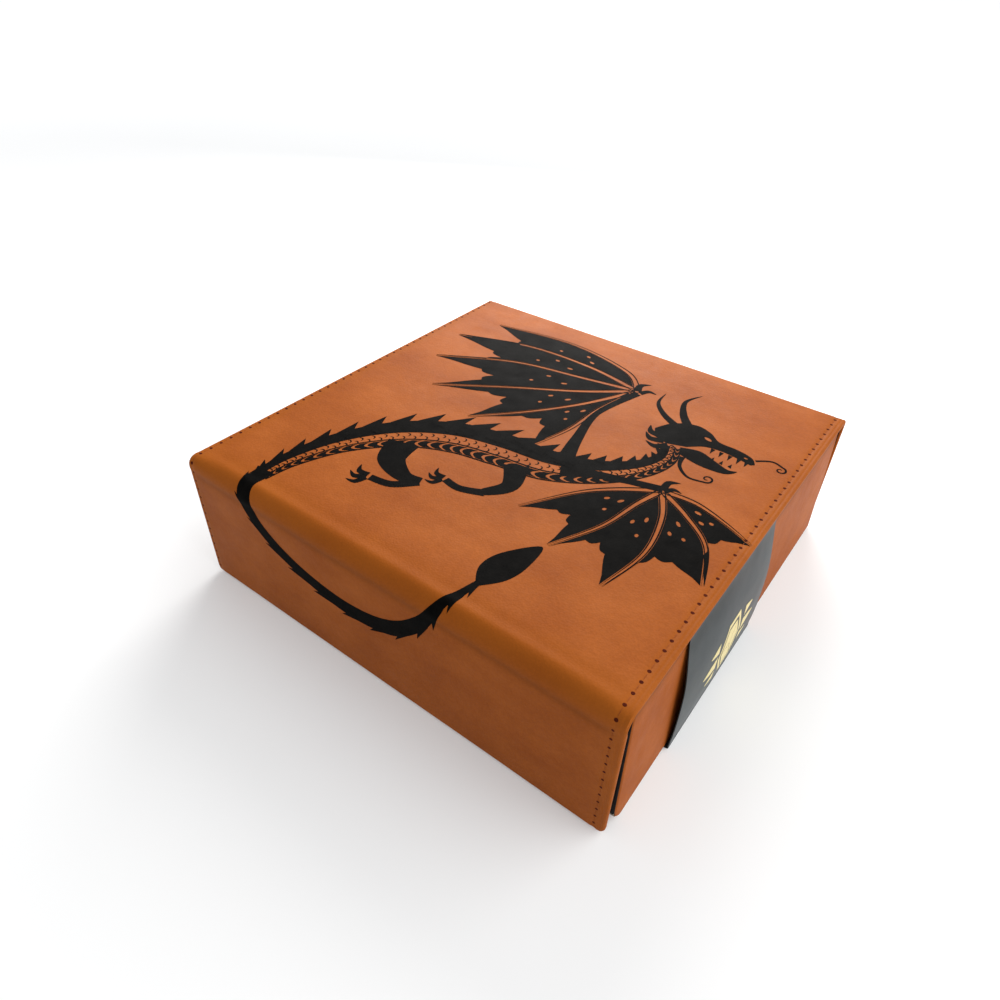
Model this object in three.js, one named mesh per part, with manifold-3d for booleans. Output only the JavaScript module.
// A folding dice tower in a closed book-style box. The cover is a square of leatherette-covered
// boards: a spine glued to the tray's back, a lid, and a front flap held shut by magnets. Under the
// lid lies a flat tower, whose side walls fold outwards as two-leaf bellows. Opening the lid stands
// it on the spine and pulls the tower open over the tray, while an arched outlet wall and an exit
// ramp rise from the tray's floor.
//
// Units are millimetres. +Z is up, the flap faces -Y, and the origin is at the middle of the underside.
import Module from "manifold-3d";
import * as THREE from "three";
import { mergeVertices } from "three/addons/utils/BufferGeometryUtils.js";

// --- Driving dimensions --------------------------------------------------------------------------
const COVER_SIDE = 210; // the cover is square
const COVER_HEIGHT = 65; // from the resting face to the lid's top
const COVER_THICK = 2.2; // board, skin and lining of a cover panel
const SKIN_THICK = 0.6; // leatherette on the cover boards
const SKIN_GAP = 0.1; // glue line between a skin and its board
const BOARD_THICK = COVER_THICK - SKIN_THICK - SKIN_GAP;
const LINING_THICK = 0.25; // black paper inside the cover
const FOLD_GAP = 0.3; // between a board's end and its hinge axis
const SOFT_FOLD = 4; // between each board and the front fold's axis, where only the skin bends
const FOOT = 0.6; // the cover stands this far above the resting face
const TURN_IN = SKIN_THICK + SKIN_GAP; // the skin goes round the boards' free ends
const BOARD_CORNER = 2.6; // radius of the boards' free corners

const HINGE_Y = COVER_SIDE / 2 - COVER_THICK; // both folds turn about the boards' inner corners
const HINGE_Z = COVER_HEIGHT - COVER_THICK;
const LID_REACH = 2 * HINGE_Y; // from the lid's axis to the flap's axis

const TRAY_HALF_X = 103.6; // at the rim
const SPLAY = 2.4; // the side walls lean out by this much down to the resting face
const FRONT_SPLAY = 3.4; // and the front wall by this much
const TRAY_FRONT = 5.8 - HINGE_Y; // at the rim: the flap hangs clear of the tray's front wall
const TRAY_BACK = HINGE_Y - 0.2;
const RIM_Z = HINGE_Z - 1;
const FRONT_CORNER = 8; // radius of the tray's lower front edge
const WRAP_THICK = 0.5; // leatherette round the tray's outside
const WALL_THICK = 4.2;
const WALL_LINING = 0.5;
const LAYER_GAP = 0.1;
const BASE_TOP = 4;
const PAD_TOP = 5.6;
const CLEARANCE = 0.05; // under a thin piece that lies loosely on another
const TAPE_THICK = 0.3; // cloth hinge tape
const TAPE_LAP = [7, 6]; // the tape's reach under the folded piece and on the floor pad

const BAND_WIDTH = 78; // the paper belly band, along Y
const BAND_Y = -22; // its middle
const BAND_THICK = 0.4;
const BAND_TUCK_X = 97.7; // where its ends hang down inside the tray
const BAND_TUCK_Z = 49;
const BAND_BULGE = 108.2; // the band stands off the tray's sides

const TOWER_HALF_X = 55; // the leaves' axes on the lid and on the front panel
const TOWER_LOW = 6.5; // the tower's foot and top, measured along the lid from its axis
const TOWER_HIGH = 188;
const PANEL_MARGIN = 0.3; // between a tower panel's edge and the leaves' axis
const BACK_PANEL = [0.4, 2.3]; // depths below the lid's underside
const FRONT_PANEL = [8.75, 11.75];
const LINK = 40; // from axis to axis of a side leaf
const LINK_RISE = 3; // each folded leaf climbs this far over its length
const LEAF_THICK = 2;
const LEAF_ROOT = 2.55; // depth of the axis where the rear leaf meets the lid
const FINGER_NOTCH = 14; // radius of the notch in the front panel's top edge

const BAFFLE_LENGTH = 60;
const BAFFLE_THICK = 2.5;
const BAFFLE_HALF_X = 51.5;
const BAFFLES_ON_LID = { baffle_top: 150, baffle_low: 70 }; // each hinge's distance from the lid's axis
const BAFFLE_ON_PANEL = 110;
const LID_BAFFLE_DEPTH = 2.8;
const PANEL_BAFFLE_DEPTH = 5.8;

const OUTLET_Y = HINGE_Y - 89.25; // hinge line of the outlet wall
const OUTLET_Z = 6;
const OUTLET_HEIGHT = 70;
const OUTLET_HALF_X = 56;
const OUTLET_THICK = 3;
const ARCH_HALF_X = 42;
const ARCH_HEIGHT = 47;
const ARCH_CORNER = 22;
const RAMP_Y = OUTLET_Y + 8.25; // hinge line of the exit ramp
const RAMP_Z = 6.2;
const RAMP_LENGTH = 74;
const RAMP_HALF_X = 50;
const RAMP_THICK = 2.5;

const MAGNET_RADIUS = 5; // discs in the flap and in the tray's front wall
const MAGNET_X = 62;
const MAGNET_DROP = 36; // below the flap's fold
const BAR_MAGNET = [14, 3]; // length and depth of the bars in the spine's and the lid's meeting edges
const BAR_MAGNET_X = 70;
const FIT = 0.2; // clearance round a magnet
const LINING_MARGIN = 2; // the lid's lining stays this far inside the band's tucked ends
const LEAST_MITER = 0.6; // limits how far a strip's corner runs out
const MERGE_DISTANCE = 1e-4;
const ARC_STEPS = 6;

// --- Materials -----------------------------------------------------------------------------------
function finish(color, roughness, metalness = 0) {
  return new THREE.MeshStandardMaterial({ color, roughness, metalness });
}

const leatherette = () => finish(0xb0632f, 0.6);
const greyboard = () => finish(0x8a7f70, 0.9);
const blackPaper = () => finish(0x161616, 0.85);
const felt = () => finish(0x1b1b1d, 1.0);
const cloth = () => finish(0x101010, 0.95);
const steel = () => finish(0xc4c6c8, 0.3, 1);
const card = () => finish(0x4a5157, 0.35);

// --- Helpers -------------------------------------------------------------------------------------
const part = new THREE.Group();

// The cover's own frame: x across, y along the lid from its axis, z down into the box.
const underLid = new THREE.Group();
underLid.position.set(0, HINGE_Y, HINGE_Z);
underLid.rotation.x = Math.PI;
part.add(underLid);

function add(parent, name, geometry, material) {
  const mesh = new THREE.Mesh(geometry, material);
  mesh.name = name;
  parent.add(mesh);
  return mesh;
}

// A plain board between two corners, given as ranges along x, y and z.
function plate(parent, name, material, xs, ys, zs) {
  const box = new THREE.BoxGeometry(xs[1] - xs[0], ys[1] - ys[0], zs[1] - zs[0]);
  const mesh = add(parent, name, box, material);
  mesh.position.set((xs[0] + xs[1]) / 2, (ys[0] + ys[1]) / 2, (zs[0] + zs[1]) / 2);
  return mesh;
}

function rectangle(xs, ys, Kind = THREE.Shape) {
  const shape = new Kind();
  shape.moveTo(xs[0], ys[0]);
  shape.lineTo(xs[1], ys[0]);
  shape.lineTo(xs[1], ys[1]);
  shape.lineTo(xs[0], ys[1]);
  shape.closePath();
  return shape;
}

function circle(x, y, radius) {
  const hole = new THREE.Path();
  hole.absarc(x, y, radius, 0, 2 * Math.PI, true);
  return hole;
}

// An outline in x and y, with its thickness from z = low upwards.
function slab(shape, low, thick) {
  const options = { depth: thick, bevelEnabled: false, curveSegments: ARC_STEPS };
  return new THREE.ExtrudeGeometry(shape, options).translate(0, 0, low);
}

// An outline in x and z, standing between two values of y.
function upright(shape, nearY, farY) {
  return slab(shape, 0, farY - nearY).rotateX(Math.PI / 2).translate(0, farY, 0);
}

// Starts a board's outline at the free foot of the cover, which has rounded corners.
function footOutline(halfX) {
  const foot = FOOT + TURN_IN + BOARD_CORNER;
  const shape = new THREE.Shape();
  shape.absarc(BOARD_CORNER - halfX, foot, BOARD_CORNER, -Math.PI, -Math.PI / 2, false);
  shape.absarc(halfX - BOARD_CORNER, foot, BOARD_CORNER, -Math.PI / 2, 0, false);
  return shape;
}

// Ends a board's outline with its edge at y = edge, notched for bar magnets in the given direction along y.
function closeWithNotches(shape, halfX, edge, direction) {
  const [length, depth] = BAR_MAGNET;
  const bottom = edge + direction * (depth + FIT);
  shape.lineTo(halfX, edge);
  for (const centre of [BAR_MAGNET_X, -BAR_MAGNET_X]) {
    shape.lineTo(centre + length / 2 + FIT, edge);
    shape.lineTo(centre + length / 2 + FIT, bottom);
    shape.lineTo(centre - length / 2 - FIT, bottom);
    shape.lineTo(centre - length / 2 - FIT, edge);
  }
  shape.lineTo(-halfX, edge);
  shape.closePath();
}

const SIDES = { left: -1, right: 1 };
const TAPE_ZS = [PAD_TOP + CLEARANCE, PAD_TOP + CLEARANCE + TAPE_THICK];

// --- Tray ----------------------------------------------------------------------------------------
const wasm = await Module();
wasm.setup();

function toSolid(geometry) {
  const bare = geometry.clone().deleteAttribute("normal").deleteAttribute("uv");
  const merged = mergeVertices(bare, MERGE_DISTANCE);
  const vertProperties = merged.attributes.position.array;
  const triVerts = new Uint32Array(merged.index.array);
  return new wasm.Manifold(new wasm.Mesh({ numProp: 3, vertProperties, triVerts }));
}

function toGeometry(solid) {
  const mesh = solid.getMesh();
  const geometry = new THREE.BufferGeometry();
  geometry.setAttribute("position", new THREE.BufferAttribute(mesh.vertProperties, 3));
  geometry.setIndex(new THREE.BufferAttribute(mesh.triVerts, 1));
  return geometry;
}

// The tray's outside seen along X, with its rounded lower front edge.
function trayEnvelope() {
  const outline = new THREE.Shape();
  outline.moveTo(-RIM_Z, TRAY_FRONT);
  outline.lineTo(-RIM_Z, TRAY_BACK);
  outline.lineTo(-FOOT, TRAY_BACK);
  outline.lineTo(-FOOT, TRAY_FRONT + FRONT_CORNER);
  outline.absarc(-FOOT - FRONT_CORNER, TRAY_FRONT + FRONT_CORNER, FRONT_CORNER, 0, -Math.PI / 2, true);
  outline.closePath();
  const halfX = TRAY_HALF_X + 1; // past the outermost piece
  return toSolid(slab(outline, -halfX, 2 * halfX).rotateY(Math.PI / 2));
}

// Cuts a tray piece to the envelope and leans its sides and its front outwards towards the bottom.
function fitToTray(geometry) {
  const cut = toGeometry(toSolid(geometry).intersect(trayEnvelope()));
  const at = cut.attributes.position;
  for (let i = 0; i < at.count; i++) {
    const drop = 1 - at.getZ(i) / RIM_Z;
    const fromBack = TRAY_BACK - at.getY(i);
    at.setX(i, at.getX(i) * (1 + (SPLAY / TRAY_HALF_X) * drop));
    at.setY(i, TRAY_BACK - fromBack * (1 + (FRONT_SPLAY / (TRAY_BACK - TRAY_FRONT)) * drop));
  }
  cut.computeVertexNormals();
  return cut;
}

function trayBoard(name, material, xs, ys, zs) {
  add(part, name, fitToTray(slab(rectangle(xs, ys), zs[0], zs[1] - zs[0])), material);
}

// A rectangular tube round the tray, inset from its outside by "inset".
function ring(inset, thick, low, high) {
  const outside = [TRAY_HALF_X - inset, TRAY_FRONT + inset, TRAY_BACK - inset];
  const inside = [outside[0] - thick, outside[1] + thick, outside[2] - thick];
  const shape = rectangle([-outside[0], outside[0]], [outside[1], outside[2]]);
  shape.holes.push(rectangle([-inside[0], inside[0]], [inside[1], inside[2]], THREE.Path));
  return slab(shape, low, high - low);
}

function makeTray() {
  const wallInset = WRAP_THICK + LAYER_GAP;
  const outer = TRAY_HALF_X - wallInset;
  const inner = outer - WALL_THICK;
  const front = TRAY_FRONT + wallInset;
  const back = TRAY_BACK - wallInset;
  const low = BASE_TOP + LAYER_GAP;
  trayBoard("tray_base", greyboard(), [-outer, outer], [front, back], [FOOT, BASE_TOP]);
  for (const [side, sign] of Object.entries(SIDES)) {
    const xs = sign > 0 ? [inner, outer] : [-outer, -inner];
    trayBoard(side + "_wall", greyboard(), xs, [front, back], [low, RIM_Z]);
  }
  const between = inner - LAYER_GAP;
  trayBoard("back_wall", greyboard(), [-between, between], [back - WALL_THICK, back], [low, RIM_Z]);

  const wall = rectangle([-between, between], [low, RIM_Z]);
  const magnetZ = HINGE_Z - MAGNET_DROP;
  for (const [side, sign] of Object.entries(SIDES)) {
    wall.holes.push(circle(sign * MAGNET_X, magnetZ, MAGNET_RADIUS + FIT));
    const disc = new THREE.Shape().absarc(sign * MAGNET_X, magnetZ, MAGNET_RADIUS, 0, 2 * Math.PI, false);
    const magnet = upright(disc, front + FIT, front + WALL_THICK - FIT);
    add(part, "wall_magnet_" + side, fitToTray(magnet), steel());
  }
  add(part, "front_wall", fitToTray(upright(wall, front, front + WALL_THICK)), greyboard());

  const liningInset = wallInset + WALL_THICK + LAYER_GAP;
  add(part, "tray_wrap", fitToTray(ring(0, WRAP_THICK, FOOT, RIM_Z)), leatherette());
  add(part, "wall_lining", fitToTray(ring(liningInset, WALL_LINING, low, RIM_Z)), felt());
  const padInset = liningInset + WALL_LINING + LAYER_GAP;
  const padX = TRAY_HALF_X - padInset;
  const padYs = [TRAY_FRONT + padInset, TRAY_BACK - padInset];
  trayBoard("floor_pad", felt(), [-padX, padX], padYs, [low, PAD_TOP]);
}

// --- Cover ---------------------------------------------------------------------------------------
function makeSpine() {
  const halfX = COVER_SIDE / 2;
  const top = HINGE_Z - FOLD_GAP / 2;
  const board = footOutline(halfX - SKIN_THICK);
  closeWithNotches(board, halfX - SKIN_THICK, top, -1);
  add(part, "spine_board", upright(board, HINGE_Y + SKIN_GAP, HINGE_Y + BOARD_THICK), greyboard());
  plate(part, "spine_skin", leatherette(), [-halfX, halfX], [halfX - SKIN_THICK, halfX], [FOOT, top]);
  const [length, depth] = BAR_MAGNET;
  for (const [side, sign] of Object.entries(SIDES)) {
    const xs = [sign * BAR_MAGNET_X - length / 2, sign * BAR_MAGNET_X + length / 2];
    const ys = [HINGE_Y + SKIN_GAP, HINGE_Y + BOARD_THICK];
    plate(part, "spine_magnet_" + side, steel(), xs, ys, [top - depth, top]);
  }
}

function makeLid() {
  const halfX = COVER_SIDE / 2;
  const near = FOLD_GAP;
  const far = LID_REACH - FOLD_GAP;
  const inset = TRAY_HALF_X - BAND_TUCK_X + 1;
  const board = new THREE.Shape();
  board.moveTo(SKIN_THICK - halfX, LID_REACH - SOFT_FOLD);
  board.lineTo(halfX - SKIN_THICK, LID_REACH - SOFT_FOLD);
  closeWithNotches(board, halfX - SKIN_THICK, near, 1);
  add(underLid, "lid_board", slab(board, -BOARD_THICK, BOARD_THICK), greyboard());
  const skinZs = [-COVER_THICK, SKIN_THICK - COVER_THICK];
  plate(underLid, "lid_skin", leatherette(), [-halfX, halfX], [near, far], skinZs);
  const liningX = BAND_TUCK_X - LINING_MARGIN;
  const liningZs = [CLEARANCE, CLEARANCE + LINING_THICK];
  plate(underLid, "lid_lining", blackPaper(), [-liningX, liningX], [inset, far - inset], liningZs);
  const [length, depth] = BAR_MAGNET;
  for (const [side, sign] of Object.entries(SIDES)) {
    const xs = [sign * BAR_MAGNET_X - length / 2, sign * BAR_MAGNET_X + length / 2];
    plate(underLid, "lid_magnet_" + side, steel(), xs, [near, near + depth], [-BOARD_THICK, 0]);
  }
}

function makeFlap() {
  const halfX = COVER_SIDE / 2;
  const top = HINGE_Z - FOLD_GAP / 2;
  const outer = -COVER_SIDE / 2;
  const boardFront = outer + SKIN_THICK + SKIN_GAP;
  const boardBack = -HINGE_Y - LINING_THICK - 2 * SKIN_GAP;
  const board = footOutline(halfX - SKIN_THICK);
  board.lineTo(halfX - SKIN_THICK, HINGE_Z - SOFT_FOLD);
  board.lineTo(SKIN_THICK - halfX, HINGE_Z - SOFT_FOLD);
  board.closePath();
  for (const [side, sign] of Object.entries(SIDES)) {
    const at = [sign * MAGNET_X, HINGE_Z - MAGNET_DROP];
    board.holes.push(circle(...at, MAGNET_RADIUS + FIT));
    const disc = new THREE.Shape().absarc(...at, MAGNET_RADIUS, 0, 2 * Math.PI, false);
    add(part, "flap_magnet_" + side, upright(disc, boardFront + FIT, boardBack - FIT), steel());
  }
  add(part, "flap_board", upright(board, boardFront, boardBack), greyboard());
  plate(part, "flap_skin", leatherette(), [-halfX, halfX], [outer, outer + SKIN_THICK], [FOOT, top]);
  const liningX = halfX - COVER_THICK;
  const liningYs = [boardBack + SKIN_GAP, boardBack + SKIN_GAP + LINING_THICK];
  const liningZs = [FOOT + COVER_THICK, HINGE_Z - SOFT_FOLD];
  plate(part, "flap_lining", blackPaper(), [-liningX, liningX], liningYs, liningZs);
}

// --- Tower under the lid -------------------------------------------------------------------------
function makeTowerPanels() {
  const halfX = TOWER_HALF_X - PANEL_MARGIN;
  plate(underLid, "tower_back_panel", cloth(), [-halfX, halfX], [TOWER_LOW, TOWER_HIGH], BACK_PANEL);

  const outline = new THREE.Shape();
  outline.moveTo(-halfX, TOWER_LOW);
  outline.lineTo(halfX, TOWER_LOW);
  outline.lineTo(halfX, TOWER_HIGH);
  outline.lineTo(FINGER_NOTCH, TOWER_HIGH);
  outline.absarc(0, TOWER_HIGH, FINGER_NOTCH, 0, -Math.PI, true);
  outline.lineTo(-halfX, TOWER_HIGH);
  outline.closePath();
  const [shallow, deep] = FRONT_PANEL;
  add(underLid, "front_panel", slab(outline, shallow, deep - shallow), leatherette());
}

// Each side wall folds at its middle: the rear leaf turns on the lid and the front leaf on the rear one.
function makeSideLeaves() {
  const tilt = Math.asin(LINK_RISE / LINK);
  const reach = LINK * Math.cos(tilt);
  const along = [TOWER_LOW, TOWER_HIGH];
  const near = PANEL_MARGIN;
  const far = LINK - PANEL_MARGIN;
  for (const [side, sign] of Object.entries(SIDES)) {
    const outwards = sign > 0 ? [near, far] : [-far, -near];
    const inwards = sign > 0 ? [-far, -near] : [near, far];

    const root = new THREE.Group();
    root.position.set(sign * TOWER_HALF_X, 0, LEAF_ROOT);
    root.rotation.y = -sign * tilt;
    underLid.add(root);
    plate(root, side + "_rear_leaf", leatherette(), outwards, along, [-LEAF_THICK, 0]);

    const elbow = new THREE.Group();
    elbow.position.set(sign * (TOWER_HALF_X + reach), 0, LEAF_ROOT + LINK_RISE);
    elbow.rotation.y = sign * tilt;
    underLid.add(elbow);
    plate(elbow, side + "_front_leaf", leatherette(), inwards, along, [0, LEAF_THICK]);
  }
}

function makeBaffles() {
  const xs = [-BAFFLE_HALF_X, BAFFLE_HALF_X];
  for (const [name, hinge] of Object.entries(BAFFLES_ON_LID)) {
    const depths = [LID_BAFFLE_DEPTH, LID_BAFFLE_DEPTH + BAFFLE_THICK];
    plate(underLid, name, felt(), xs, [hinge - BAFFLE_LENGTH, hinge], depths);
  }
  const depths = [PANEL_BAFFLE_DEPTH, PANEL_BAFFLE_DEPTH + BAFFLE_THICK];
  plate(underLid, "baffle_middle", felt(), xs, [BAFFLE_ON_PANEL - BAFFLE_LENGTH, BAFFLE_ON_PANEL], depths);
}

// --- Pieces that rise from the tray's floor ------------------------------------------------------
function makeOutletWall() {
  const tip = OUTLET_Y - OUTLET_HEIGHT;
  const crown = OUTLET_Y - ARCH_HEIGHT;
  const outline = new THREE.Shape();
  outline.moveTo(-OUTLET_HALF_X, tip);
  outline.lineTo(OUTLET_HALF_X, tip);
  outline.lineTo(OUTLET_HALF_X, OUTLET_Y);
  outline.lineTo(ARCH_HALF_X, OUTLET_Y);
  outline.absarc(ARCH_HALF_X - ARCH_CORNER, crown + ARCH_CORNER, ARCH_CORNER, 0, -Math.PI / 2, true);
  outline.absarc(ARCH_CORNER - ARCH_HALF_X, crown + ARCH_CORNER, ARCH_CORNER, -Math.PI / 2, -Math.PI, true);
  outline.lineTo(-ARCH_HALF_X, OUTLET_Y);
  outline.lineTo(-OUTLET_HALF_X, OUTLET_Y);
  outline.closePath();
  add(part, "outlet_wall", slab(outline, OUTLET_Z, OUTLET_THICK), leatherette());
  for (const [side, sign] of Object.entries(SIDES)) {
    const edges = [sign * ARCH_HALF_X, sign * OUTLET_HALF_X].sort((a, b) => a - b);
    const ys = [OUTLET_Y - TAPE_LAP[0], OUTLET_Y + TAPE_LAP[1]];
    plate(part, "outlet_tape_" + side, cloth(), edges, ys, TAPE_ZS);
  }
}

function makeExitRamp() {
  const xs = [-RAMP_HALF_X, RAMP_HALF_X];
  plate(part, "exit_ramp", felt(), xs, [RAMP_Y, RAMP_Y + RAMP_LENGTH], [RAMP_Z, RAMP_Z + RAMP_THICK]);
  const tapeX = ARCH_HALF_X - 2; // clear of the outlet wall's tapes
  const ys = [RAMP_Y - TAPE_LAP[1], RAMP_Y + TAPE_LAP[0]];
  plate(part, "ramp_tape", cloth(), [-tapeX, tapeX], ys, TAPE_ZS);
}

// --- Belly band ----------------------------------------------------------------------------------
// Half of the band's middle line in x and z, from under the tray, round the bulging side and over the rim.
function bandHalfLine() {
  const under = BAND_THICK / 2;
  const overRim = RIM_Z + FOLD_GAP + BAND_THICK / 2;
  const side = new THREE.CatmullRomCurve3([
    new THREE.Vector3(TRAY_HALF_X + SPLAY + 0.4, 0, under),
    new THREE.Vector3(BAND_BULGE - 0.6, 0, under + 3),
    new THREE.Vector3(BAND_BULGE, 0, 0.25 * RIM_Z),
    new THREE.Vector3(BAND_BULGE - 0.5, 0, 0.6 * RIM_Z),
    new THREE.Vector3(TRAY_HALF_X + 0.9, 0, overRim - 3),
    new THREE.Vector3(TRAY_HALF_X + 0.4, 0, overRim),
  ]);
  const bend = side.getPoints(3 * ARC_STEPS).map((p) => new THREE.Vector2(p.x, p.z));
  return [...bend, new THREE.Vector2(BAND_TUCK_X, overRim), new THREE.Vector2(BAND_TUCK_X, BAND_TUCK_Z)];
}

// A strip of even thickness along an open line of points.
function stripOutline(line, thick) {
  const normals = line.map((point, i) => {
    const before = line[Math.max(i - 1, 0)];
    const after = line[Math.min(i + 1, line.length - 1)];
    const arriving = point.clone().sub(before).normalize();
    const leaving = after.clone().sub(point).normalize();
    const along = arriving.clone().add(leaving).normalize();
    const miter = Math.max(along.dot(i ? arriving : leaving), LEAST_MITER);
    return new THREE.Vector2(along.y, -along.x).divideScalar(miter);
  });
  const shifted = (amount) => line.map((point, i) => point.clone().addScaledVector(normals[i], amount));
  return new THREE.Shape([...shifted(thick / 2), ...shifted(-thick / 2).reverse()]);
}

function makeBellyBand() {
  const right = bandHalfLine();
  const left = right.map((point) => new THREE.Vector2(-point.x, point.y)).reverse();
  const outline = stripOutline([...left, ...right], BAND_THICK);
  const band = upright(outline, BAND_Y - BAND_WIDTH / 2, BAND_Y + BAND_WIDTH / 2);
  add(part, "belly_band", band, card());
}

makeTray();
makeSpine();
makeLid();
makeFlap();
makeTowerPanels();
makeSideLeaves();
makeBaffles();
makeOutletWall();
makeExitRamp();
makeBellyBand();

export default part;
